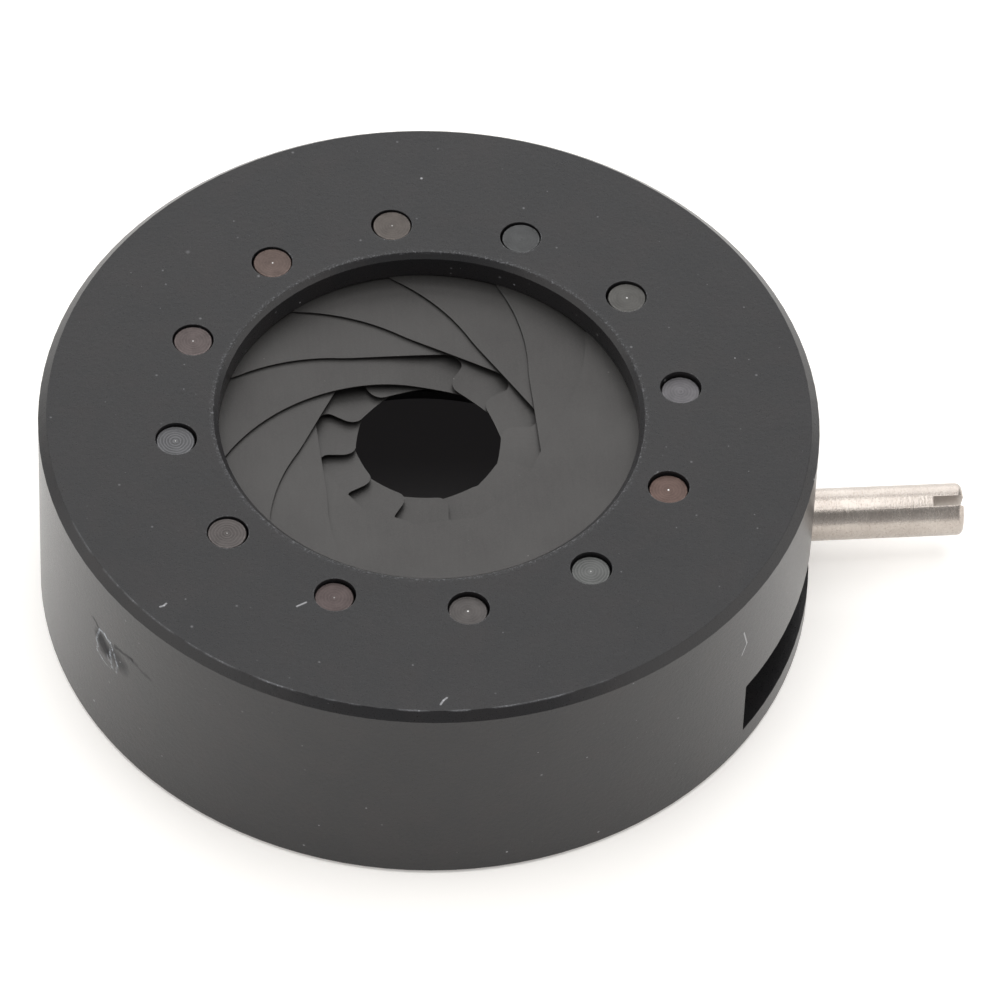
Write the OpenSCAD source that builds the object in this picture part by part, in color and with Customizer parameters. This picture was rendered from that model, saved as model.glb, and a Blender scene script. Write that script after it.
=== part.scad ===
// Iris diaphragm in a one-inch housing: twelve leaves that lap round in a closed circle,
// turned together by a lever on a drive ring. The rear face lies on z = 0, the optical axis
// is +Z and the lever stands out along +X. The leaves are drawn part shut, at set_d.

/* [Housing] */
// Outside diameter of the housing
housing_d = 25.4; // [25.3:0.1:28]
// Height of the housing along the optical axis
housing_h = 8.0; // [7.8:0.1:9.5]
// Width of the front face, from the outside to the light opening
face_w = 5.85; // [5.8:0.01:5.9]
// Thickness of the front flange
flange_t = 0.95; // [0.8:0.05:1.1]
// Chamfer round the light opening, at the front face
opening_chamfer = 0.17; // [0.05:0.01:0.25]
// Chamfer round the outside of the front face
front_chamfer = 0.275; // [0.1:0.005:0.4]
// Chamfer round the outside of the rear face
rear_chamfer = 0.15; // [0.05:0.01:0.3]
// Thickness of the wall round the drive ring
wall_t = 0.95; // [0.85:0.01:1]
// Width of the ledge over the drive ring
ledge_w = 0.35; // [0.25:0.01:0.4]
// Height of the leaf chamber, from the flange down to the ledge over the drive ring
leaf_room_h = 1.06; // [1.04:0.01:1.2]

/* [Side slot] */
// Height of the slot in the side wall
slot_h = 2.235; // [2.1:0.005:2.4]
// Height of the middle of the slot above the rear face
slot_z = 2.045; // [2:0.005:2.1]
// Distance left between the lever and each end of the slot, measured on the outside
slot_end_gap = 0.42; // [0.2:0.02:0.8]

/* [Leaves] */
// Distance from the wall of the light opening out to the middle of a pivot
pivot_rim = 1.438; // [1.42:0.002:1.45]
// Angle from the lever to the first pivot
pivot_turn = 4.58; // [0:0.01:10]
// How far the edge of an open leaf stays behind the wall of the light opening
leaf_inset = 0.064; // [0.03:0.002:0.1]
// Width of a leaf
leaf_w = 2.586; // [2.5:0.002:2.62]
// Thickness of the leaf foil
leaf_t = 0.03; // [0.02:0.002:0.032]
// Angle along the leaf from the pivot pin to the drive pin
leaf_span = 153; // [152:0.5:154]
// Even fall of the leaf from the pivot end to the drive end
leaf_fall = 0.355; // [0.34:0.005:0.36]
// Strength of the steeper dip where all the leaves meet
leaf_dip = 0.0905; // [0.088:0.0005:0.092]
// Space between the top of the leaves and the flange
leaf_gap = 0.02; // [0.01:0.005:0.04]
// Width across the aperture as drawn, from edge to edge
set_d = 4.676; // [4:0.004:5.5]
// Width across the aperture when shut as far as it goes
shut_d = 1.0; // [1:0.1:2]

/* [Leaf notch] */
// Angle along the leaf at which the notch leaves the inner arc
notch_from = 37; // [34:0.5:40]
// Angle between the notch edge and the arc where they part
notch_lead = 7.3; // [6.8:0.1:7.5]
// Angle along the leaf of the step that ends the notch
notch_to = 66.15; // [65.5:0.05:66.5]
// Depth of the notch at its deepest
notch_depth = 1.206; // [1:0.01:1.3]

/* [Pins] */
// Diameter of a pivot pin
pivot_pin_d = 1.24; // [1.1:0.01:1.3]
// Gap all round between a pivot pin and its hole
pivot_play = 0.055; // [0.03:0.005:0.08]
// Depth of the end of a pivot pin below the front face
pin_recess = 0.05; // [0:0.01:0.2]
// Diameter of a drive pin
drive_pin_d = 0.8; // [0.7:0.02:0.9]
// Gap on each side of a drive pin in its cam slot
drive_play = 0.04; // [0.03:0.005:0.06]
// Diameter of the stub that holds a pin in its leaf
stub_d = 0.6; // [0.4:0.02:0.64]
// Gap all round between a stub and the hole in the leaf
stub_play = 0.01; // [0.005:0.005:0.02]

/* [Drive ring] */
// Turns of the drive ring for each turn of a leaf
ring_ratio = 2.5; // [2.4:0.05:2.6]
// Gap all round between the drive ring and its bore
ring_play = 0.05; // [0.03:0.005:0.08]
// Gap between the drive ring and the ledge above it
ring_top_gap = 0.04; // [0.02:0.01:0.06]
// Thickness of the web that carries the cam slots
web_t = 1.0; // [0.9:0.05:1.4]
// How far the bore of the web stands back from the light opening
web_inset = 0.1; // [0.05:0.01:0.15]
// Thickness of the skirt below the web
skirt_w = 2.4; // [2.2:0.05:2.6]
// How much deeper the cam slots are than the web
cam_over = 0.06; // [0.02:0.01:0.2]

/* [Lever] */
// Diameter of the lever pin
lever_d = 1.73; // [1.6:0.01:1.8]
// Length of the lever outside the housing
lever_out = 5.1; // [3:0.1:9]
// Radius of the rounded end of the lever
lever_round = 0.22; // [0.1:0.01:0.4]
// Diameter of the threaded end that screws into the drive ring
lever_stub_d = 1.2; // [1:0.05:1.3]
// Gap all round between the threaded end and its hole
lever_play = 0.01; // [0.005:0.005:0.03]
// Width of the screwdriver slot
driver_w = 0.35; // [0.2:0.01:0.4]
// Depth of the screwdriver slot
driver_depth = 1.0; // [0.5:0.05:1.4]
// Turn of the screwdriver slot from upright
driver_turn = 20; // [0:1:180]

/* [Rear stack] */
// Distance from the rear face to the snap ring groove
groove_z = 0.14; // [0.1:0.01:0.18]
// Width of the groove along the optical axis
groove_w = 0.38; // [0.34:0.01:0.4]
// Depth of the groove in the bore
groove_depth = 0.4; // [0.3:0.02:0.5]
// Thickness of the snap ring
snap_t = 0.32; // [0.28:0.01:0.32]
// Width of the snap ring's band
snap_w = 0.95; // [0.8:0.05:1.1]
// Angle of the gap between the ears of the snap ring
snap_gap = 18; // [14:1:26]
// Angle from the lever to the middle of the snap ring's gap
snap_turn = 200; // [150:5:250]
// Diameter of the hole in each ear
ear_hole_d = 0.7; // [0.5:0.05:0.8]
// Thickness of the rear plate
plate_t = 0.35; // [0.3:0.01:0.37]
// How far the bore of the rear plate stands back from the light opening
plate_inset = 0.25; // [0.1:0.01:0.6]
// Gap all round between the rear plate and the bore
plate_play = 0.05; // [0.03:0.01:0.1]
// Thickness of the wave washer
washer_t = 0.12; // [0.1:0.01:0.13]
// Height of the waves of the wave washer
washer_wave = 0.14; // [0.08:0.01:0.15]

/* [Hidden] */
LEAVES = 12;
PLAIN = 6;
$fn = 96;
opening_d = housing_d - 2 * face_w;
ring_bore_d = housing_d - 2 * wall_t;
leaf_room_d = ring_bore_d - 2 * ledge_w;
web_bore_d = opening_d + 2 * web_inset;
skirt_bore_d = ring_bore_d - 2 * ring_play - 2 * skirt_w;
plate_bore_d = opening_d + 2 * plate_inset;
lever_reach = housing_d / 2 + lever_out;
cam_depth = web_t + cam_over;
rp = opening_d / 2 + pivot_rim;
leaf_in_r = opening_d / 2 + leaf_inset;
leaf_outer_r = leaf_in_r + leaf_w;
// Swing of the leaves from fully open: as drawn, and when shut
theta_set = 2 * asin((leaf_in_r - set_d / 2) / (2 * rp));
theta_shut = 2 * asin((leaf_in_r - shut_d / 2) / (2 * rp));
// Travel of the ring from the drawn position: towards shut and towards open
ring_shut = ring_ratio * (theta_shut - theta_set);
ring_open = ring_ratio * theta_set;
// Heights, from the rear face
z_flange = housing_h - flange_t;
z_leaf = z_flange - leaf_gap;
z_ledge = z_flange - leaf_room_h;
z_ring = z_ledge - ring_top_gap;
z_snap = groove_z + groove_w - 0.03 - snap_t;
z_plate = groove_z + groove_w;
z_washer = z_plate + plate_t + 0.02;
z_skirt = z_washer + washer_t + washer_wave + 0.03;
// Pivot end and drive end of the leaf outline
cap_p = 6;
cap_q = 8;
tip_p = asin(0.95 / rp);
tip_q = asin(0.8 / rp);
leaf_half = (leaf_outer_r - leaf_in_r) / 2;
leaf_mid = (leaf_outer_r + leaf_in_r) / 2;
flat = 7;
black = [0.20, 0.20, 0.215];
leaf_grey = [0.36, 0.35, 0.34];
steel = [0.72, 0.71, 0.68];

// Angles are measured along the leaf from its pivot pin, clockwise seen from the front.

// Height of the leaf above its pivot end: an even fall with a steeper dip in the middle
function arsinh(x) = ln(x + sqrt(x * x + 1));
function clip(a) = min(max(a, flat), leaf_span - flat);
function fall(a) = leaf_fall * (clip(a) - flat) / (leaf_span - 2 * flat);
function dip(a) = leaf_dip * (arsinh((clip(a) - 67) / 5) - arsinh((flat - 67) / 5));
function leaf_z(a) = -fall(a) - dip(a);

// Inner edge between the rounded ends: the arc, or the notch where there is one
function notch_line(a) =
    leaf_in_r * cos(notch_lead) / cos(a - notch_from + notch_lead);
function notch_corner(a) =
    notch_depth - 0.33 * (1 - sqrt(1 - pow(min(max(a - notch_to + 3.35, 0) / 3.35, 1), 2)));
function notch_foot(a) =
    0.44 * (1 - sqrt(1 - pow(min(max(notch_to + 3.05 - a, 0) / 3.05, 1), 2)));
function inner_edge(a, notched) =
    !notched || a <= notch_from || a >= notch_to + 3.05 ? leaf_in_r
    : a < notch_to ? min(notch_line(a), leaf_in_r + notch_corner(a))
    : leaf_in_r + notch_foot(a);

// A station is [angle, inner radius, outer radius]
function cap_station(u, from, to, sign) =
    let (a = from + sign * to * sin(u), m = leaf_mid + (rp - leaf_mid) * sin(u))
    [a, m - leaf_half * cos(u), m + leaf_half * cos(u)];
function body_angles() = concat(
    [for (a = [9:3:54]) a],
    [for (a = [notch_to - 10.5:1.5:notch_to - 4.5]) a],
    [for (s = [3.35, 2.35, 1.55, 0.95, 0.5, 0.2, 0.02]) notch_to - s],
    [for (s = [0.02, 0.2, 0.6, 1.2, 2, 3.05, 4.4]) notch_to + s],
    [for (a = [72:1.5:82.5]) a],
    [for (a = [84:3:leaf_span - cap_q - 1]) a]);
function stations(notched) = concat(
    [for (u = [84:-12:0]) cap_station(u, cap_p, cap_p + tip_p, -1)],
    [for (a = body_angles()) [a, inner_edge(a, notched), leaf_outer_r]],
    [for (u = [0:12:84]) cap_station(u, leaf_span - cap_q, cap_q + tip_q, 1)]);

// Place of the drive pin about the optical axis, with the pivot at angle 0, at swing t
function drive_at(t) = [
    rp * (1 - cos(t)) + rp * cos(leaf_span + t),
    rp * sin(t) - rp * sin(leaf_span + t)];
function turned(p, a) = [p.x * cos(a) - p.y * sin(a), p.x * sin(a) + p.y * cos(a)];
// The same place on the drive ring: the line that the cam slot follows
function cam(t) = turned(drive_at(t), ring_ratio * (t - theta_set));
function cam_side(t, w) =
    let (d = cam(t + 0.05) - cam(t - 0.05))
    cam(t) + w * [-d.y, d.x] / norm(d);

module leaf_foil(notched) {
    s = stations(notched);
    n = len(s);
    pts = [for (q = s, c = [[1, 0], [2, 0], [2, 1], [1, 1]])
        [q[c[0]] * cos(q[0]), -q[c[0]] * sin(q[0]), leaf_z(q[0]) - c[1] * leaf_t]];
    walls = [for (i = [0:n - 2]) let (a = 4 * i, b = 4 * i + 4)
        each [[a, a + 1, b + 1], [a, b + 1, b],
            [a + 1, a + 2, b + 2], [a + 1, b + 2, b + 1],
            [a + 3, b + 2, a + 2], [a + 3, b + 3, b + 2],
            [a + 3, a, b], [a + 3, b, b + 3]]];
    e = 4 * n - 4;
    polyhedron(pts, concat(walls, [[0, 2, 1], [0, 3, 2], [e, e + 1, e + 2], [e, e + 2, e + 3]]));
}

// Puts what is drawn in a leaf's own frame in its place in the iris
module at_leaf(k) {
    rotate([0, 0, pivot_turn + 360 / LEAVES * k])
        translate([rp, 0, z_leaf])
            rotate([0, 0, -theta_set])
                translate([-rp, 0, 0])
                    children();
}

module leaf(k) {
    color(leaf_grey)
        at_leaf(k)
            difference() {
                leaf_foil(k != PLAIN);
                translate([rp, 0, -0.5])
                    cylinder(h = 1, d = stub_d + 2 * stub_play, $fn = 32);
                rotate([0, 0, -leaf_span])
                    translate([rp, 0, leaf_z(leaf_span) - 0.5])
                        cylinder(h = 1, d = stub_d + 2 * stub_play, $fn = 32);
            }
}

module pivot_pin(k) {
    top = housing_h - pin_recess - z_leaf;
    r = pivot_pin_d / 2;
    color(steel)
        at_leaf(k)
            translate([rp, 0, 0])
                rotate_extrude($fn = 48)
                    polygon([[0, -leaf_t], [stub_d / 2, -leaf_t], [stub_d / 2, 0], [r, 0],
                        [r, top - 0.05], [r - 0.05, top], [0.09, top], [0, top - 0.06]]);
}

module drive_pin(k) {
    bottom = z_ring - cam_depth + 0.12 - z_leaf;
    r = drive_pin_d / 2;
    zq = leaf_z(leaf_span);
    color(steel)
        at_leaf(k)
            rotate([0, 0, -leaf_span])
                translate([rp, 0, 0])
                    rotate_extrude($fn = 48)
                        polygon([[0, bottom], [r - 0.08, bottom], [r, bottom + 0.08],
                            [r, zq - leaf_t], [stub_d / 2, zq - leaf_t], [stub_d / 2, zq],
                            [0, zq]]);
}

// Wedge of angle from a1 to a2 about the axis, out to beyond the housing
module wedge(a1, a2, z, h) {
    steps = 12;
    translate([0, 0, z])
        linear_extrude(height = h)
            polygon(concat([[0, 0]], [for (i = [0:steps])
                turned([housing_d, 0], a1 + (a2 - a1) * i / steps)]));
}

module side_slot() {
    end_turn = 2 * asin((lever_d / 2 + slot_end_gap) / housing_d);
    intersection() {
        difference() {
            translate([0, 0, slot_z - slot_h / 2])
                cylinder(h = slot_h, r = housing_d / 2 + 1);
            translate([0, 0, slot_z - slot_h / 2 - 1])
                cylinder(h = slot_h + 2, r = ring_bore_d / 2 - 0.5);
        }
        wedge(-ring_shut - end_turn, ring_open + end_turn, slot_z - slot_h, 2 * slot_h);
    }
}

module housing() {
    ro = housing_d / 2;
    ri = opening_d / 2;
    rb = ring_bore_d / 2;
    rl = leaf_room_d / 2;
    color(black)
        difference() {
            rotate_extrude($fn = 256)
                polygon([[rb + 0.1, 0], [ro - rear_chamfer, 0], [ro, rear_chamfer],
                    [ro, housing_h - front_chamfer], [ro - front_chamfer, housing_h],
                    [ri + opening_chamfer, housing_h], [ri, housing_h - opening_chamfer],
                    [ri, z_flange], [rl, z_flange], [rl, z_ledge], [rb, z_ledge],
                    [rb, groove_z + groove_w], [rb + groove_depth, groove_z + groove_w],
                    [rb + groove_depth, groove_z], [rb, groove_z], [rb, 0.1]]);
            for (k = [0:LEAVES - 1])
                rotate([0, 0, pivot_turn + 360 / LEAVES * k])
                    translate([rp, 0, z_flange - 0.5])
                        cylinder(h = flange_t + 1, d = pivot_pin_d + 2 * pivot_play, $fn = 64);
            side_slot();
        }
}

module rear_plate() {
    color(black)
        translate([0, 0, z_plate])
            difference() {
                cylinder(h = plate_t, r = ring_bore_d / 2 - plate_play, $fn = 192);
                translate([0, 0, -1])
                    cylinder(h = plate_t + 2, d = plate_bore_d, $fn = 192);
            }
}

module snap_ring() {
    ro = ring_bore_d / 2 + groove_depth - 0.08;
    ri = ro - snap_w - groove_depth;
    ear_r = ri - 0.25;
    color([0.42, 0.42, 0.43])
        translate([0, 0, z_snap])
            rotate([0, 0, snap_turn])
                difference() {
                    union() {
                        difference() {
                            cylinder(h = snap_t, r = ro, $fn = 192);
                            translate([0, 0, -1])
                                cylinder(h = snap_t + 2, r = ri, $fn = 192);
                            wedge(-snap_gap / 2, snap_gap / 2, -1, snap_t + 2);
                        }
                        for (s = [-1, 1])
                            rotate([0, 0, s * (snap_gap / 2 + 6)])
                                translate([ear_r, 0, 0])
                                    cylinder(h = snap_t, r = 0.95, $fn = 48);
                    }
                    for (s = [-1, 1])
                        rotate([0, 0, s * (snap_gap / 2 + 6)])
                            translate([ear_r, 0, -1])
                                cylinder(h = snap_t + 2, d = ear_hole_d, $fn = 48);
                }
}

module wave_washer() {
    n = 120;
    waves = 4;
    ro = ring_bore_d / 2 - 0.12;
    ri = skirt_bore_d / 2 + 0.15;
    pts = [for (i = [0:n - 1], c = [[ri, 1], [ro, 1], [ro, 0], [ri, 0]])
        let (a = 360 * i / n)
        [c[0] * cos(a), c[0] * sin(a), c[1] * washer_t + washer_wave / 2 * (1 - cos(waves * a))]];
    faces = [for (i = [0:n - 1], j = [0:3])
        let (a = 4 * i, b = 4 * ((i + 1) % n), m = (j + 1) % 4)
        each [[a + j, b + j, b + m], [a + j, b + m, a + m]]];
    color(steel)
        translate([0, 0, z_washer])
            polyhedron(pts, faces);
}

module drive_ring() {
    ro = ring_bore_d / 2 - ring_play;
    rs = skirt_bore_d / 2;
    rw = web_bore_d / 2;
    w = drive_pin_d / 2 + drive_play;
    t0 = -0.7;
    t1 = theta_shut + 0.7;
    steps = 22;
    color(black)
        difference() {
            rotate_extrude($fn = 192)
                polygon([[rs, z_skirt], [ro - 0.1, z_skirt], [ro, z_skirt + 0.1],
                    [ro, z_ring - 0.1], [ro - 0.1, z_ring], [rw, z_ring],
                    [rw, z_ring - web_t], [rs, z_ring - web_t]]);
            for (k = [0:LEAVES - 1])
                rotate([0, 0, pivot_turn + 360 / LEAVES * k])
                    translate([0, 0, z_ring - cam_depth]) {
                        linear_extrude(height = cam_depth + 1)
                            polygon(concat(
                                [for (i = [0:steps]) cam_side(t0 + (t1 - t0) * i / steps, w)],
                                [for (i = [steps:-1:0]) cam_side(t0 + (t1 - t0) * i / steps, -w)]));
                        for (t = [t0, t1])
                            translate([cam(t).x, cam(t).y, 0])
                                cylinder(h = cam_depth + 1, r = w, $fn = 32);
                    }
            translate([rs - 1, 0, slot_z])
                rotate([0, 90, 0])
                    cylinder(h = ro - rs + 2, d = lever_stub_d + 2 * lever_play, $fn = 32);
        }
}

module lever_pin() {
    shoulder = ring_bore_d / 2 - ring_play + 0.01;
    r = lever_d / 2;
    e = lever_round;
    color(steel)
        translate([0, 0, slot_z])
            rotate([0, 90, 0])
                difference() {
                    rotate_extrude($fn = 64)
                        polygon(concat(
                            [[0, skirt_bore_d / 2 + 0.1], [lever_stub_d / 2 - 0.1, skirt_bore_d / 2 + 0.1],
                            [lever_stub_d / 2, skirt_bore_d / 2 + 0.2], [lever_stub_d / 2, shoulder],
                            [r, shoulder]],
                            [for (a = [0:15:90])
                                [r - e + e * cos(a), lever_reach - e + e * sin(a)]],
                            [[0, lever_reach]]));
                    translate([0, 0, lever_reach - driver_depth / 2 + 0.5])
                        rotate([0, 0, driver_turn])
                            cube([lever_d * 2, driver_w, driver_depth + 1], center = true);
                }
}

housing();
rear_plate();
snap_ring();
wave_washer();
drive_ring();
lever_pin();
leaf(0);  // leaf_01
leaf(1);  // leaf_02
leaf(2);  // leaf_03
leaf(3);  // leaf_04
leaf(4);  // leaf_05
leaf(5);  // leaf_06
leaf(6);  // leaf_07
leaf(7);  // leaf_08
leaf(8);  // leaf_09
leaf(9);  // leaf_10
leaf(10);  // leaf_11
leaf(11);  // leaf_12
pivot_pin(0);  // pivot_pin_01
pivot_pin(1);  // pivot_pin_02
pivot_pin(2);  // pivot_pin_03
pivot_pin(3);  // pivot_pin_04
pivot_pin(4);  // pivot_pin_05
pivot_pin(5);  // pivot_pin_06
pivot_pin(6);  // pivot_pin_07
pivot_pin(7);  // pivot_pin_08
pivot_pin(8);  // pivot_pin_09
pivot_pin(9);  // pivot_pin_10
pivot_pin(10);  // pivot_pin_11
pivot_pin(11);  // pivot_pin_12
drive_pin(0);  // drive_pin_01
drive_pin(1);  // drive_pin_02
drive_pin(2);  // drive_pin_03
drive_pin(3);  // drive_pin_04
drive_pin(4);  // drive_pin_05
drive_pin(5);  // drive_pin_06
drive_pin(6);  // drive_pin_07
drive_pin(7);  // drive_pin_08
drive_pin(8);  // drive_pin_09
drive_pin(9);  // drive_pin_10
drive_pin(10);  // drive_pin_11
drive_pin(11);  // drive_pin_12
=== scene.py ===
from math import cos, pi, radians, sin

import bmesh
import bpy
from mathutils import Matrix, Vector


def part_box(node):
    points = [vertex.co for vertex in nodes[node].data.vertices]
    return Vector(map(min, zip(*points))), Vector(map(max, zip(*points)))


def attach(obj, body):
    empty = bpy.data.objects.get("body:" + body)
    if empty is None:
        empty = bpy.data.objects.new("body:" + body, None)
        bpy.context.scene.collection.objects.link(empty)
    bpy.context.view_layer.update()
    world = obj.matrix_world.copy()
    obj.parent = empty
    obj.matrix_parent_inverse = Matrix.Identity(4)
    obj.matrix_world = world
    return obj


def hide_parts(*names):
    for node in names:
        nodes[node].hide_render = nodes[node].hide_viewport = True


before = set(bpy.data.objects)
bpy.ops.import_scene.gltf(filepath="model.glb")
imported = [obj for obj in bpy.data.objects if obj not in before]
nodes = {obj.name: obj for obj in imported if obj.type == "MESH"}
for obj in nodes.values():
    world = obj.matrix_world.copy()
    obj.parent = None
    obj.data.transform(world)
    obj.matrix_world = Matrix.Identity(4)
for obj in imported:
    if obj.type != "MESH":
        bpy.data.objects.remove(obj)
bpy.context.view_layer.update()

MM = 0.001


# ---------------------------------------------------------------- Camera
# A long lens looks down on the front face from just under 50 degrees, with the lever to
# the right and the camera rolled by a little over two degrees.
tilt, roll, swing = radians(49.703), radians(2.456), radians(-6.3)
level = Vector((1, 0, 0))
ahead = Vector((0, cos(tilt), -sin(tilt)))
plumb = Vector((0, -sin(tilt), -cos(tilt)))
right = level * cos(roll) - plumb * sin(roll)
down = level * sin(roll) + plumb * cos(roll)
standpoint = (right * 2.2924 + down * 2.828 - ahead * 288.4455) * MM

camera_data = bpy.data.cameras.new("camera")
camera_data.lens, camera_data.sensor_width = 319.86, 36
camera_data.clip_start, camera_data.clip_end = 0.01, 10
camera = bpy.data.objects.new("camera", camera_data)
bpy.context.scene.collection.objects.link(camera)
aimed = Matrix((right, -down, -ahead)).transposed().to_4x4()
aimed.translation = standpoint
camera.matrix_world = Matrix.Rotation(swing, 4, "Z") @ Matrix.Translation((0, 0, 8 * MM)) @ aimed
bpy.context.scene.camera = camera


# ---------------------------------------------------------------- Studio
# One wide softbox hangs overhead, a panel stands on each side and a paler wall behind. The
# side towards the camera stays dark, which keeps the bevels and the aperture black.
def softbox(name, place, aim, width, height, radiance, colour=(1, 1, 1)):
    data = bpy.data.lights.new(name, "AREA")
    data.shape, data.size, data.size_y = "RECTANGLE", width, height
    data.energy, data.color = radiance * pi * width * height, colour
    lamp = bpy.data.objects.new(name, data)
    lamp.location = place
    lamp.rotation_euler = (Vector(aim) - Vector(place)).to_track_quat("-Z", "Y").to_euler()
    bpy.context.scene.collection.objects.link(lamp)


softbox("softbox_above", (0, 0.055, 0.5), (0, 0.055, 0), 0.5, 0.51, 2.2)
softbox("panel_left", (-0.5, -0.2, 0.24), (0, -0.2, 0), 0.85, 0.4, 1.15, (1, 0.97, 0.94))
softbox("panel_right", (0.5, -0.22, 0.24), (0, -0.22, 0), 0.85, 0.4, 1.2, (1, 0.97, 0.94))
softbox("wall_behind", (0, 0.6, 0.3), (0, 0, 0), 0.9, 0.6, 1.6)

world = bpy.data.worlds.new("studio")
bpy.context.scene.world = world
world.use_nodes = True
bpy.context.scene.view_settings.view_transform = "Standard"


# ---------------------------------------------------------------- Table
# A smooth white sheet, lit from below round the iris. Under the iris it is a patch of painted
# shade, dark with a faint glow, that keeps light out of its rear and sets the dark seen through
# the aperture. It is not part of the iris.
class Value:
    """A number or vector that varies from place to place. Arithmetic on it adds nodes."""

    def __init__(self, tree, socket):
        self.tree, self.socket = tree, socket

    def math(self, operation, *others, first=None):
        terms = [self, *others] if first is None else [first, self]
        return self.tree.add("ShaderNodeMath", {"operation": operation}, dict(enumerate(terms)))

    def __add__(self, other):
        return self.math("ADD", other)

    def __sub__(self, other):
        return self.math("SUBTRACT", other)

    def __mul__(self, other):
        return self.math("MULTIPLY", other)

    def __truediv__(self, other):
        return self.math("DIVIDE", other)

    def __pow__(self, other):
        return self.math("POWER", other)

    def __mod__(self, other):
        return self.math("FLOORED_MODULO", other)

    def __lt__(self, other):
        return self.math("LESS_THAN", other)

    def __gt__(self, other):
        return self.math("GREATER_THAN", other)

    def __rsub__(self, other):
        return self.math("SUBTRACT", first=other)

    def __rtruediv__(self, other):
        return self.math("DIVIDE", first=other)

    __radd__ = __add__
    __rmul__ = __mul__

    def limit(self, low=0.0, high=1.0):
        return self.math("MAXIMUM", low).math("MINIMUM", high)

    def part(self, start, end):
        """0 up to start, 1 from end on, and straight between them."""
        return ((self - start) / (end - start)).limit()

    def band(self, centre, half, soft):
        """1 within half of centre, falling to 0 over soft."""
        return ((half + soft - (self - centre).math("ABSOLUTE")) / soft).limit()


class Tree:
    """A node tree, for a finish or for a shape."""

    def __init__(self, tree):
        self.tree = tree

    def add(self, kind, settings=None, values=None, output=0):
        node = self.tree.nodes.new(kind)
        for name, setting in (settings or {}).items():
            setattr(node, name, setting)
        for name, value in (values or {}).items():
            if isinstance(value, Value):
                self.tree.links.new(value.socket, node.inputs[name])
            elif value is not None:
                node.inputs[name].default_value = value
        return Value(self, node.outputs[output]) if node.outputs else None

    def vector(self, operation, first, second, output="Vector"):
        slot = "Scale" if operation == "SCALE" else 1
        return self.add("ShaderNodeVectorMath", {"operation": operation}, {0: first, slot: second}, output)

    def parts(self, vector):
        split = self.add("ShaderNodeSeparateXYZ", None, {0: vector})
        return [Value(self, socket) for socket in split.socket.node.outputs]


class Finish(Tree):
    """A material whose colour, gloss and relief vary over the surface."""

    def __init__(self, name):
        self.material = bpy.data.materials.new(name)
        self.material.use_nodes = True
        self.material.node_tree.nodes.clear()
        super().__init__(self.material.node_tree)
        self.place = self.add("ShaderNodeTexCoord", output="Object")

    def noise(self, size, detail=2.0, roughness=0.5, at=None):
        values = {"Vector": at or self.place, "Scale": 1 / size, "Detail": detail, "Roughness": roughness}
        return self.add("ShaderNodeTexNoise", None, values)

    def specks(self, spacing, radius, share):
        """Round specks up to that radius, in that share of cells of that size."""
        off_origin = (0.37 * spacing, 0.11 * spacing, 0.3 * spacing)
        values = {"Vector": self.vector("ADD", self.place, off_origin), "Scale": 1 / spacing}
        away = self.add("ShaderNodeTexVoronoi", None, values)
        dice = self.parts(self.add("ShaderNodeTexVoronoi", None, values, "Color"))
        reach = (dice[0] * dice[0] * 0.75 + 0.25) * (radius / spacing)
        return (1.4 - away / reach).limit() * (dice[1] < share) * (dice[2] * dice[2] * 0.8 + 0.2)

    def round_axis(self, x, y, z):
        """The distance from the axis and the height, for marks that a lathe leaves."""
        return self.add("ShaderNodeCombineXYZ", None, {"X": (x * x + y * y) ** 0.5, "Y": 0.0, "Z": z})

    def stroke(self, start, end, half, soft, at=None):
        """1 on the line between two points, falling to 0 over soft."""
        along = Vector(end) - Vector(start)
        offset = self.vector("SUBTRACT", at or self.place, start)
        share = self.vector("DOT_PRODUCT", offset, along / along.length_squared, "Value").limit()
        foot = self.vector("SCALE", along, share)
        return (1 - (self.vector("DISTANCE", offset, foot, "Value") - half) / soft).limit()

    def mix(self, mask, under, over):
        """The colour under where mask is 0, and over where it is 1."""
        values = {0: mask, 6: self.flat(under), 7: self.flat(over)}
        return self.add("ShaderNodeMix", {"data_type": "RGBA"}, values, 2)

    @staticmethod
    def flat(colour):
        return colour if isinstance(colour, Value) else (*colour, 1)

    def bump(self, height, strength, depth, under=None):
        values = {"Height": height, "Strength": strength, "Distance": depth, "Normal": under}
        return self.add("ShaderNodeBump", None, values)

    def done(self, **values):
        sockets = {name.replace("_", " "): value for name, value in values.items()}
        surface = self.add("ShaderNodeBsdfPrincipled", None, sockets)
        self.add("ShaderNodeOutputMaterial", None, {"Surface": surface})
        return self.material


# The room is grey overhead and paler towards the horizon, where the sheet sweeps up.
world.node_tree.nodes.clear()
room = Tree(world.node_tree)
x, y, z = room.parts(room.add("ShaderNodeTexCoord"))
glow = room.add("ShaderNodeBackground", None, {"Strength": (1 - z).limit() ** 2 * 0.6 + 0.34})
room.add("ShaderNodeOutputWorld", None, {"Surface": glow})

sheet_finish = Finish("white_table")
x, y, z = sheet_finish.parts(sheet_finish.place)
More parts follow.
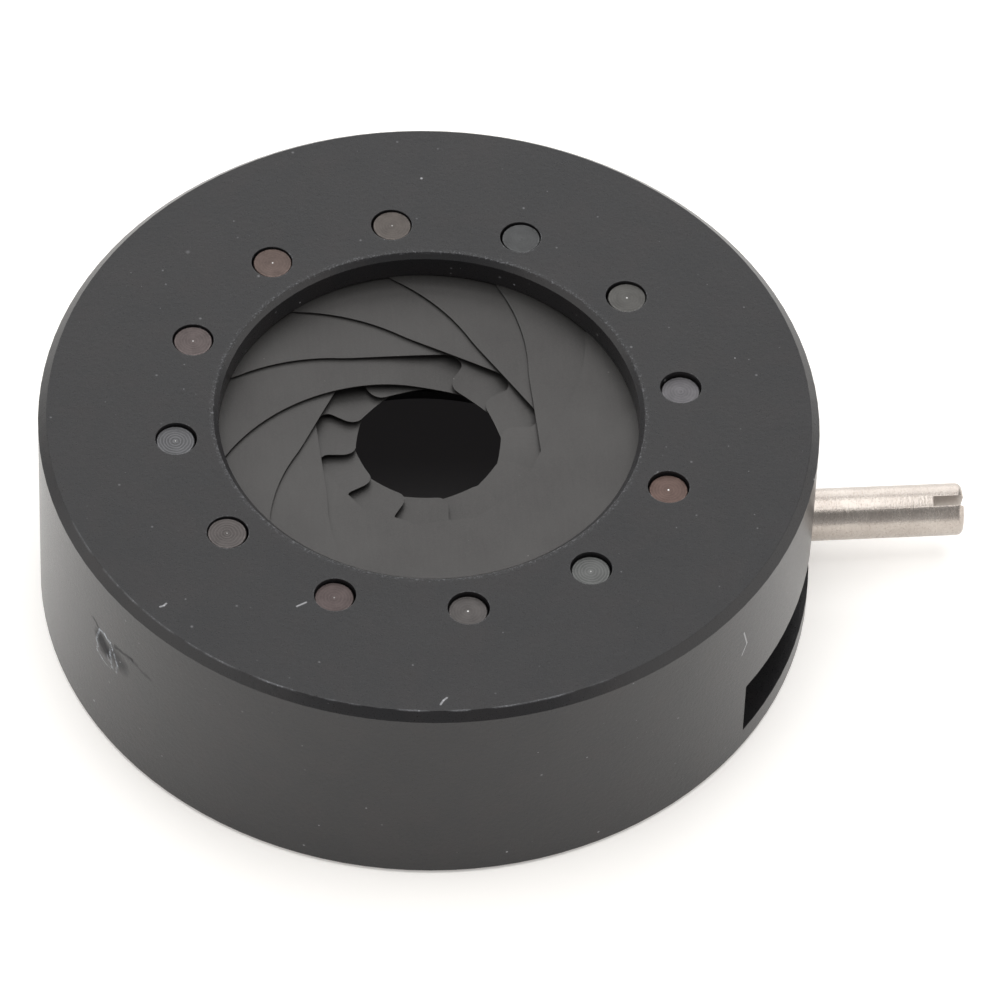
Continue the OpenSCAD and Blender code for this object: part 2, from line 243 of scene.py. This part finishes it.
# Painted shade: the sheet is dark and barely glowing under the iris, and glows white round it.
beyond_painted_shade = ((x * x + y * y) ** 0.5).part(12.2 * MM, 12.7 * MM)
paper = sheet_finish.mix(sheet_finish.noise(0.02) * 0.5, (0.93, 0.92, 0.9), (0.9, 0.89, 0.87))
white_table = sheet_finish.done(
    Base_Color=sheet_finish.mix(beyond_painted_shade, (0.06, 0.058, 0.058), paper),
    Roughness=0.9,
    Emission_Color=sheet_finish.mix(beyond_painted_shade, (0.03, 0.028, 0.029), (1, 0.965, 0.93)),
    Emission_Strength=0.3,
)
sheet_mesh = bpy.data.meshes.new("table")
reach = 1.5
corners = [(-reach, -reach, 0), (reach, -reach, 0), (reach, reach, 0), (-reach, reach, 0)]
sheet_mesh.from_pydata(corners, [], [(0, 1, 2, 3)])
sheet_mesh.materials.append(white_table)
sheet = bpy.data.objects.new("table", sheet_mesh)
bpy.context.scene.collection.objects.link(sheet)


# ---------------------------------------------------------------- Housing
# One ring turned from aluminium bar, bored for the leaves and the drive ring, drilled for
# the pivots and slotted for the lever, then etched matte and anodised black. Handling has
# brightened its edges, knocked a scuff into one side and left dust and lint on it.
def dress(part, material):
    part.data.materials.clear()
    part.data.materials.append(material)


outer_r, height, front_chamfer = 12.7 * MM, 8.0 * MM, 0.275 * MM
opening_r, pivot_r, first_pivot = 6.85 * MM, 8.288 * MM, radians(4.58)
rubbed_side = radians(-114)


def on_wall(turn, up):
    return outer_r * cos(radians(turn)), outer_r * sin(radians(turn)), up * MM


def on_face(*place):
    return place[0] * MM, place[1] * MM, height


shell = Finish("housing_black")
x, y, z = shell.parts(shell.place)
radius = (x * x + y * y) ** 0.5
grain = shell.noise(0.045 * MM, 3, 0.65)
cloud = shell.noise(2.2 * MM, 3)
hue = shell.noise(1.1 * MM, 2, at=shell.vector("ADD", shell.place, (0.1, 0, 0)))
skin = shell.mix(cloud.part(0.3, 0.7), (0.0080, 0.0080, 0.0090), (0.0115, 0.0110, 0.0118))
skin = shell.mix(hue.part(0.45, 0.75) * 0.6, skin, (0.0140, 0.0112, 0.0115))
skin = shell.mix(grain.part(0.35, 0.75) * 0.35, skin, (0.022, 0.022, 0.024))

# Bright metal along the front edge, round the light opening and round the pivot holes.
turn_between = y.math("ARCTAN2", x) - first_pivot + pi / 12
from_pivot = turn_between % (pi / 6) - pi / 12
near_x = radius * from_pivot.math("COSINE") - pivot_r
near_y = radius * from_pivot.math("SINE")
from_hole = (near_x * near_x + near_y * near_y) ** 0.5
on_top = z.part(height - 0.05 * MM, height - 0.02 * MM)
most_rubbed = ((x * cos(rubbed_side) + y * sin(rubbed_side)) / radius).part(0.64, 0.76)
front_edge = radius.band(outer_r - front_chamfer, 0.012 * MM, 0.022 * MM) * most_rubbed
opening_edge = radius.band(opening_r + 0.19 * MM, 0.03 * MM, 0.1 * MM)
hole_edge = from_hole.band(0.69 * MM, 0.01 * MM, 0.02 * MM)
rubbed = shell.noise(0.9 * MM, 4).part(0.42, 0.62)
crumbs = shell.noise(0.07 * MM, 3, 0.7).part(0.53, 0.68)
worn = on_top * (
    front_edge * rubbed * (0.35 + 0.65 * crumbs) + opening_edge * crumbs * 0.5
    + hole_edge * crumbs * rubbed * 0.5)
skin = shell.mix(worn.limit(), skin, (0.22, 0.225, 0.24))

# A scuff on the side: a hollow shaped like an eye, with ragged bright rims that run to a
# tip below, a smeared patch beside it, and a scratch that leads on from it.
ragged = shell.add("ShaderNodeTexNoise", None, {
    "Vector": shell.place, "Scale": 1 / (0.22 * MM), "Detail": 3.0}, "Color")
ragged = shell.vector("SCALE", shell.vector("SUBTRACT", ragged, (0.5, 0.5, 0.5)), 0.24 * MM)
ragged = shell.vector("ADD", shell.place, ragged)
scuff = [
    ((-150.3, 5.3), (-151.0, 4.74), 0.6), ((-151.0, 4.74), (-150.9, 4.12), 0.6),
    ((-150.9, 4.12), (-149.6, 4.0), 0.4), ((-149.6, 4.0), (-147.6, 3.94), 0.35),
    ((-150.3, 5.3), (-148.6, 5.36), 0.7), ((-148.9, 5.36), (-147.6, 5.24), 1.6),
    ((-147.6, 5.24), (-147.0, 5.0), 0.9), ((-147.6, 5.1), (-147.5, 4.6), 0.6),
    ((-147.5, 4.6), (-147.2, 4.1), 0.5), ((-147.0, 5.0), (-145.8, 4.5), 0.5),
    ((-145.8, 4.5), (-146.2, 4.06), 0.6), ((-148.4, 4.5), (-147.0, 4.1), 0.4),
]
rim = 0
for start, end, weight in scuff:
    rim = shell.stroke(on_wall(*start), on_wall(*end), 0.016 * MM, 0.055 * MM, ragged) * weight + rim
rim = rim * shell.noise(0.11 * MM, 3, 0.7).part(0.36, 0.6)
hollow = shell.stroke(on_wall(-149.9, 4.95), on_wall(-148.9, 4.65), 0.16 * MM, 0.26 * MM, ragged)
smear_patch = shell.stroke(on_wall(-146.7, 4.85), on_wall(-144.9, 4.75), 0.15 * MM, 0.38 * MM, ragged)
scratch = (shell.stroke(on_wall(-146.3, 5.32), on_wall(-142.5, 5.44), 0.02 * MM, 0.1 * MM, ragged)
           + shell.stroke(on_wall(-142.5, 5.44), on_wall(-138.5, 5.24), 0.015 * MM, 0.09 * MM, ragged) * 0.7)
scratch = scratch + shell.stroke(on_wall(-152.0, 5.52), on_wall(-150.4, 5.34), 0.015 * MM, 0.08 * MM, ragged)
skin = shell.mix((hollow + smear_patch * 0.4 + scratch * 0.7).limit(), skin, (0.004, 0.004, 0.006))
skin = shell.mix(rim.limit(), skin, (0.34, 0.37, 0.41))

# Dust and lint.
lint = [
    (on_face(-0.52, -12.16), on_face(-0.42, -12.0)), (on_face(-0.42, -12.0), on_face(-0.3, -11.9)),
    (on_face(-4.8, -7.9), on_face(-4.5, -7.75)),
    (on_face(-9.15, -7.68), on_face(-9.03, -7.64)), (on_face(-9.03, -7.64), on_face(-8.95, -7.56)),
    (on_wall(-41.2, 6.28), on_wall(-40.2, 5.56)), (on_wall(-40.2, 5.56), on_wall(-41.3, 5.18)),
]
fluff = 0
for start, end in lint:
    fluff = shell.stroke(start, end, 0.014 * MM, 0.03 * MM) + fluff
dust = shell.specks(0.5 * MM, 0.045 * MM, 0.7) + shell.specks(1.7 * MM, 0.075 * MM, 0.6)
skin = shell.mix((dust + fluff * 0.6).limit(), skin, (0.42, 0.42, 0.44))

soft_edges = shell.add("ShaderNodeBevel", {"samples": 6}, {"Radius": 0.03 * MM})
relief = shell.bump(grain + shell.noise(0.16 * MM, 2) * 1.5, 0.4, 0.008 * MM, soft_edges)
relief = shell.bump(rim - hollow - smear_patch * 0.5 + dust * 0.5 + fluff, 0.6, 0.03 * MM, relief)
matt = 0.23 + grain * 0.12 + dust * 0.3 + hollow * 0.4 + smear_patch * 0.25 + scratch * 0.3
housing_black = shell.done(Base_Color=skin, Roughness=matt, Normal=relief, Specular_IOR_Level=0.4)
dress(nodes["housing"], housing_black)


# ---------------------------------------------------------------- Leaves
# Twelve crescents of steel foil, 0.03 mm thick, blackened and matte. Each lies over the
# next one round, which lifts its edge a little and leaves a dark gap beneath it.
foil = Finish("leaf_steel")
fine = foil.noise(0.05 * MM, 3, 0.65)
patch = foil.noise(2.5 * MM, 3)
rolled = foil.noise(0.12 * MM, 2, at=foil.vector("MULTIPLY", foil.place, (1, 0.12, 1)))
foil_skin = foil.mix(patch.part(0.3, 0.7), (0.054, 0.052, 0.051), (0.064, 0.062, 0.0605))
paler = fine.part(0.35, 0.75) * 0.3 + rolled.part(0.4, 0.7) * 0.06
foil_skin = foil.mix(paler, foil_skin, (0.1, 0.097, 0.094))
foil_dust = foil.specks(0.8 * MM, 0.03 * MM, 0.55)
foil_skin = foil.mix(foil_dust, foil_skin, (0.5, 0.49, 0.47))
leaf_steel = foil.done(
    Base_Color=foil_skin, Roughness=0.4 + fine * 0.14 + foil_dust * 0.3, Metallic=0.75,
    Normal=foil.bump(fine, 0.2, 0.006 * MM))
for number in range(1, 13):
    dress(nodes[f"leaf_{number:02d}"], leaf_steel)


# ---------------------------------------------------------------- Pivot pins
# Twelve turned steel pins, one riveted into the upper end of each leaf. Their ends show in
# the holes of the front face, at slightly different depths, with the rings and the centre
# pip that the lathe tool left. Some have a coppery tint from the blackening bath.
class Shape(Tree):
    """A Geometry Nodes tree with named sizes, which makes plain meshes."""

    def __init__(self, name, sizes):
        super().__init__(bpy.data.node_groups.new(name, "GeometryNodeTree"))
        face = self.tree.interface
        for label, kind in sizes.items():
            face.new_socket(label, in_out="INPUT", socket_type=f"NodeSocket{kind}")
        face.new_socket("Geometry", in_out="OUTPUT", socket_type="NodeSocketGeometry")
        source = self.tree.nodes.new("NodeGroupInput")
        self.size = {label: Value(self, source.outputs[label]) for label in sizes}

    def end(self, geometry):
        solid = self.add("GeometryNodeRealizeInstances", None, {"Geometry": geometry})
        solid = self.add("GeometryNodeSetMaterial", None, {
            "Geometry": solid, "Material": self.size["Material"]})
        self.add("NodeGroupOutput", None, {0: solid})

    def make(self, name, sizes):
        maker = bpy.data.objects.new(name, bpy.data.meshes.new(name))
        bpy.context.scene.collection.objects.link(maker)
        step = maker.modifiers.new("shape", "NODES")
        step.node_group = self.tree
        for item in self.tree.interface.items_tree:
            if item.in_out == "INPUT":
                step[item.identifier] = sizes[item.name]
        graph = bpy.context.evaluated_depsgraph_get()
        graph.update()
        mesh = bpy.data.meshes.new_from_object(maker.evaluated_get(graph), depsgraph=graph)
        maker.modifiers.remove(step)
        maker.data = mesh
        mesh.name = name
        if not mesh.materials:
            mesh.materials.append(sizes["Material"])
        return maker


# The profile runs from the middle of the foot, up the stub and the body, over the rounded
# edge and in to the middle of the end. One unit of step is one corner of it.
FACE_ROWS = 36
turned = Shape("turned_pin", {
    "Centre": "Vector", "Radius": "Float", "Top": "Float", "Shoulder": "Float", "Stub radius": "Float",
    "Foot": "Float", "Edge radius": "Float", "Ring depth": "Float", "Ring pitch": "Float",
    "Ring shift": "Float", "Pip height": "Float", "Pip radius": "Float", "Dish": "Float",
    "Around": "Int", "Material": "Material"})
size = turned.size
last = 7 + FACE_ROWS
around = turned.add("GeometryNodeMeshGrid", None, {
    "Size X": 1.0, "Size Y": 1.0, "Vertices X": size["Around"], "Vertices Y": last + 1})
x, y, z = turned.parts(turned.add("GeometryNodeInputPosition"))
angle, step = (x + 0.5) * (2 * pi), (y + 0.5) * last
bend = step.part(4, 7) * (pi / 2)
edge = size["Edge radius"]
inward = step.part(7, last)
out = (size["Stub radius"] * step.part(0, 1) + (size["Radius"] - size["Stub radius"]) * step.part(2, 3)
       - edge * (1 - bend.math("COSINE")))
out = out - (size["Radius"] - edge) * inward
rings = ((out / size["Ring pitch"] + size["Ring shift"]) * (2 * pi)).math("SINE") * size["Ring depth"]
rings = rings * inward.part(0, 0.15) * (1 - inward.part(0.9, 1))
pip = (1 - out / size["Pip radius"]).limit() ** 0.7 * size["Pip height"]
up = (size["Foot"] + (size["Shoulder"] - size["Foot"]) * step.part(1, 2)
      + (size["Top"] - edge - size["Shoulder"]) * step.part(3, 4) + edge * bend.math("SINE"))
up = up + (step > 6.5) * (rings + pip) - size["Dish"] * inward
spot = turned.add("ShaderNodeCombineXYZ", None, {
    "X": out * angle.math("COSINE"), "Y": out * angle.math("SINE"), "Z": up})
spot = turned.vector("ADD", spot, size["Centre"])
lathe = turned.add("GeometryNodeSetPosition", None, {"Geometry": around, "Position": spot})
lathe = turned.add("GeometryNodeMergeByDistance", None, {"Geometry": lathe, "Distance": 1e-7})
lathe = turned.add("GeometryNodeSetShadeSmooth", None, {"Geometry": lathe, "Shade Smooth": True})
corner = turned.add("GeometryNodeInputMeshEdgeAngle") > radians(40)
lathe = turned.add("GeometryNodeSetShadeSmooth", {"domain": "EDGE"}, {
    "Geometry": lathe, "Selection": corner, "Shade Smooth": False})
turned.end(lathe)

# For each pin: depth below the face, shift in its hole, colour, how clear its rings are, and
# how bright the highlight painted on its pip is.
ends = [
    (0.195, (0.0, -0.012), (0.30, 0.29, 0.305), 0.3, 0.0),
    (0.08, (0.028, 0.0), (0.205, 0.20, 0.19), 0.15, 0.6),
    (0.05, (0.024, -0.01), (0.155, 0.158, 0.16), 0.1, 0.0),
    (0.05, (0.024, 0.0), (0.215, 0.19, 0.175), 0.15, 0.25),
    (0.05, (0.022, 0.0), (0.24, 0.18, 0.16), 0.15, 0.45),
    (0.065, (0.0, 0.0), (0.23, 0.19, 0.185), 0.2, 0.35),
    (0.12, (-0.022, 0.005), (0.24, 0.24, 0.25), 1.0, 0.3),
    (0.055, (-0.024, 0.005), (0.20, 0.18, 0.175), 0.5, 0.2),
    (0.14, (-0.025, 0.0), (0.215, 0.17, 0.165), 0.25, 0.2),
    (0.15, (-0.022, -0.01), (0.205, 0.19, 0.185), 0.2, 0.8),
    (0.155, (-0.01, -0.01), (0.25, 0.255, 0.25), 0.55, 0.35),
    (0.145, (0.0, -0.01), (0.29, 0.20, 0.175), 0.2, 0.9),
]
for number, (depth, shift, tone, clear, pip_painted_glint) in enumerate(ends, 1):
    low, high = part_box(f"pivot_pin_{number:02d}")
    centre = ((low.x + high.x) / 2 + shift[0] * MM, (low.y + high.y) / 2 + shift[1] * MM, 0)
    end = Finish(f"pin_steel_{number:02d}")
    middle = end.vector("SUBTRACT", end.place, centre)
    x, y, z = end.parts(middle)
    radius = (x * x + y * y) ** 0.5
    wander = end.noise(0.4 * MM, 2, at=middle)
    groove = ((radius / (0.1 * MM) + wander * 0.9) * (2 * pi)).math("SINE") * 0.5 + 0.5
    speckle = end.noise(0.07 * MM, 3, 0.7)
    smear = end.noise(0.35 * MM, 2)
    tone = tuple((0.4 - 0.08 * clear) * c for c in tone)
    steel = end.mix(smear.part(0.3, 0.7), tuple(0.82 * c for c in tone), tuple(1.12 * c for c in tone))
    steel = end.mix(groove ** 2.0 * (0.75 * clear), steel, tuple(1.9 * c for c in tone))
    steel = end.mix(speckle.part(0.5, 0.75) * 0.35, steel, tuple(1.7 * c for c in tone))
    # Painted highlight: a near-white dot on the centre pip stands in for the glint of light off it, brighter
    # on some pins.
    steel = end.mix((1 - radius / (0.04 * MM)).limit() * (1.6 * pip_painted_glint), steel, (0.95, 0.95, 0.93))
    rim = radius.band(0.598 * MM, 0.012 * MM, 0.03 * MM) * speckle.part(0.45, 0.6) * (0.35 + 0.3 * clear)
    steel = end.mix(rim, steel, tuple(2.6 * c for c in tone))
    relief = end.bump(speckle + groove * clear, 0.35, 0.01 * MM)
    material = end.done(Base_Color=steel, Roughness=0.42 + speckle * 0.16, Metallic=0.85, Normal=relief)
    pin = turned.make(f"pivot_pin_end_{number:02d}", {
        "Centre": centre, "Radius": 0.635 * MM, "Top": height - depth * MM, "Shoulder": 7.03 * MM,
        "Stub radius": 0.3 * MM, "Foot": 7.0 * MM, "Edge radius": 0.045 * MM,
        "Ring depth": 0.003 * clear * MM,
        "Ring pitch": 0.085 * MM, "Ring shift": 0.13 * number, "Pip height": 0.018 * MM,
        "Pip radius": 0.05 * MM, "Dish": 0.006 * MM, "Around": 49, "Material": material})
    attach(pin, f"blade_{number:02d}")
    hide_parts(f"pivot_pin_{number:02d}")


# ---------------------------------------------------------------- Drive pins
# Twelve small turned steel pins, one under the other end of each leaf, that run in the cam
# slots of the drive ring.
drive = Finish("drive_steel")
worn_in = drive.noise(0.08 * MM, 3)
drive_steel = drive.done(
    Base_Color=drive.mix(worn_in, (0.3, 0.29, 0.28), (0.42, 0.41, 0.4)), Roughness=0.26 + worn_in * 0.2,
    Metallic=1.0, Normal=drive.bump(worn_in, 0.2, 0.006 * MM))
for number in range(1, 13):
    dress(nodes[f"drive_pin_{number:02d}"], drive_steel)


# ---------------------------------------------------------------- Drive ring
# A turned aluminium ring with a web on top that carries the cam slots, anodised black like the
# housing but painted lighter, as painted light in the deep shade seen through the aperture. It
# turns in the housing's bore, and the lever screws into its skirt.
ring = Finish("ring_black")
x, y, z = ring.parts(ring.place)
tool_marks = ring.noise(0.06 * MM, 3, 0.6)
lines = ring.noise(0.05 * MM, 2, at=ring.round_axis(x, y, z))
# Painted light: this black is several times lighter than the housing's, to lift the deep shade seen through
# the aperture.
ring_skin_painted_light = ring.mix(tool_marks, (0.045, 0.045, 0.046), (0.06, 0.06, 0.061))
ring_skin_painted_light = ring.mix(lines.part(0.5, 0.8) * 0.3, ring_skin_painted_light, (0.075, 0.075, 0.076))
ring_black = ring.done(
    Base_Color=ring_skin_painted_light, Roughness=0.46 + tool_marks * 0.12,
    Normal=ring.bump(lines + tool_marks, 0.25, 0.006 * MM))
dress(nodes["drive_ring"], ring_black)


# ---------------------------------------------------------------- Lever pin
# A plain stainless pin, turned, rounded at the end and slotted for a screwdriver. Its
# threaded stub screws into the skirt of the drive ring, so the pin turns the ring.
lever_r, lever_tip, lever_z = 0.865 * MM, 17.8 * MM, 2.045 * MM
slot_w, slot_turn = 0.35 * MM, radians(20)
stub_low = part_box("lever_pin")[0]
bar = Finish("lever_steel")
x, y, z = bar.parts(bar.place)
lengthwise = bar.noise(0.1 * MM, 3, 0.6, at=bar.vector("MULTIPLY", bar.place, (1, 0.25, 0.25)))
pits = bar.noise(0.07 * MM, 3, 0.7)
stain = bar.noise(0.9 * MM, 3)
bright = bar.mix(stain.part(0.3, 0.7), (0.42, 0.375, 0.34), (0.5, 0.455, 0.415))
bright = bar.mix(pits.part(0.52, 0.75) * 0.6, bright, (0.25, 0.2, 0.165))
in_slot = (z - lever_z) * sin(slot_turn) + y * cos(slot_turn)
sawn = in_slot.band(0, 0.165 * MM, 0.012 * MM) * x.part(lever_tip - 1.05 * MM, lever_tip - 0.99 * MM)
bright = bar.mix(sawn, bright, bar.mix(pits, (0.09, 0.072, 0.06), (0.17, 0.14, 0.12)))
lever_steel = bar.done(
    Base_Color=bright, Roughness=0.15 + lengthwise * 0.14 + pits * 0.08 + sawn * 0.3, Metallic=1.0,
    Normal=bar.bump(lengthwise + pits, 0.5, 0.012 * MM))
lever = turned.make("lever_bar", {
    "Centre": (0, 0, 0), "Radius": lever_r, "Top": lever_tip, "Shoulder": 11.71 * MM, "Stub radius": 0.6 * MM,
    "Foot": stub_low.x, "Edge radius": 0.2 * MM, "Ring depth": 0.002 * MM, "Ring pitch": 0.1 * MM,
    "Ring shift": 0.0, "Pip height": 0.0, "Pip radius": 0.05 * MM, "Dish": 0.0, "Around": 97,
    "Material": lever_steel})

# The screwdriver slot is sawn across the end, turned a little from upright, and its burr is
# stoned off. The cut is made at a thousand times the size.
blank_to_cut = Matrix.Scale(1 / MM, 4)
lever.data.transform(blank_to_cut)
saw_mesh = bpy.data.meshes.new("saw")
saw_box = bmesh.new()
bmesh.ops.create_cube(saw_box, size=1)
saw_box.to_mesh(saw_mesh)
saw_box.free()
saw_size = Matrix.Diagonal((4, slot_w / MM, 2, 1))
saw_mesh.transform(Matrix.Rotation(slot_turn, 4, "Z") @ Matrix.Translation((0, 0, lever_tip / MM)) @ saw_size)
saw_mesh.materials.append(lever_steel)
saw = bpy.data.objects.new("saw", saw_mesh)
bpy.context.scene.collection.objects.link(saw)
cut = lever.modifiers.new("slot", "BOOLEAN")
cut.operation, cut.solver, cut.object = "DIFFERENCE", "EXACT", saw
stoned = lever.modifiers.new("stoned", "BEVEL")
stoned.width, stoned.segments, stoned.limit_method, stoned.angle_limit = 0.045, 3, "ANGLE", radians(35)
graph = bpy.context.evaluated_depsgraph_get()
graph.update()
slotted = bpy.data.meshes.new_from_object(lever.evaluated_get(graph), depsgraph=graph)
lever.modifiers.clear()
lever.data = slotted
bpy.data.objects.remove(saw)
slotted.transform(Matrix.Translation((0, 0, lever_z)) @ Matrix.Rotation(pi / 2, 4, "Y") @ Matrix.Scale(MM, 4))
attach(lever, "drive")
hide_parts("lever_pin")


# ---------------------------------------------------------------- Wave washer, rear plate and snap ring
# A waved washer of spring steel presses the drive ring forward, a black plate with a hole
# carries it, and a snap ring in a groove of the bore holds the stack in.
plate = Finish("plate_black")
x, y, z = plate.parts(plate.place)
dull = plate.noise(0.07 * MM, 3, 0.6)
faced = plate.noise(0.07 * MM, 2, at=plate.round_axis(x, y, z))
# Painted light: the plate's black is lighter than the housing's, to lift the deep shade seen through the
# aperture.
plate_skin_painted_light = plate.mix(dull, (0.045, 0.044, 0.045), (0.06, 0.059, 0.06))
plate_skin_painted_light = plate.mix(plate.specks(0.9 * MM, 0.035 * MM, 0.4), plate_skin_painted_light, (0.45, 0.45, 0.45))
plate_black = plate.done(
    Base_Color=plate_skin_painted_light, Roughness=0.42 + dull * 0.14,
    Normal=plate.bump(dull + faced * 0.7, 0.3, 0.006 * MM))
dress(nodes["rear_plate"], plate_black)

spring = Finish("spring_steel")
drawn = spring.noise(0.08 * MM, 3, 0.6)
blued = spring.noise(1.5 * MM, 3)
spring_skin = spring.mix(blued.part(0.3, 0.7), (0.16, 0.158, 0.16), (0.21, 0.2, 0.195))
spring_steel = spring.done(
    Base_Color=spring_skin, Roughness=0.28 + drawn * 0.2, Metallic=1.0,
    Normal=spring.bump(drawn, 0.3, 0.006 * MM))
dress(nodes["snap_ring"], spring_steel)
dress(nodes["wave_washer"], spring_steel)
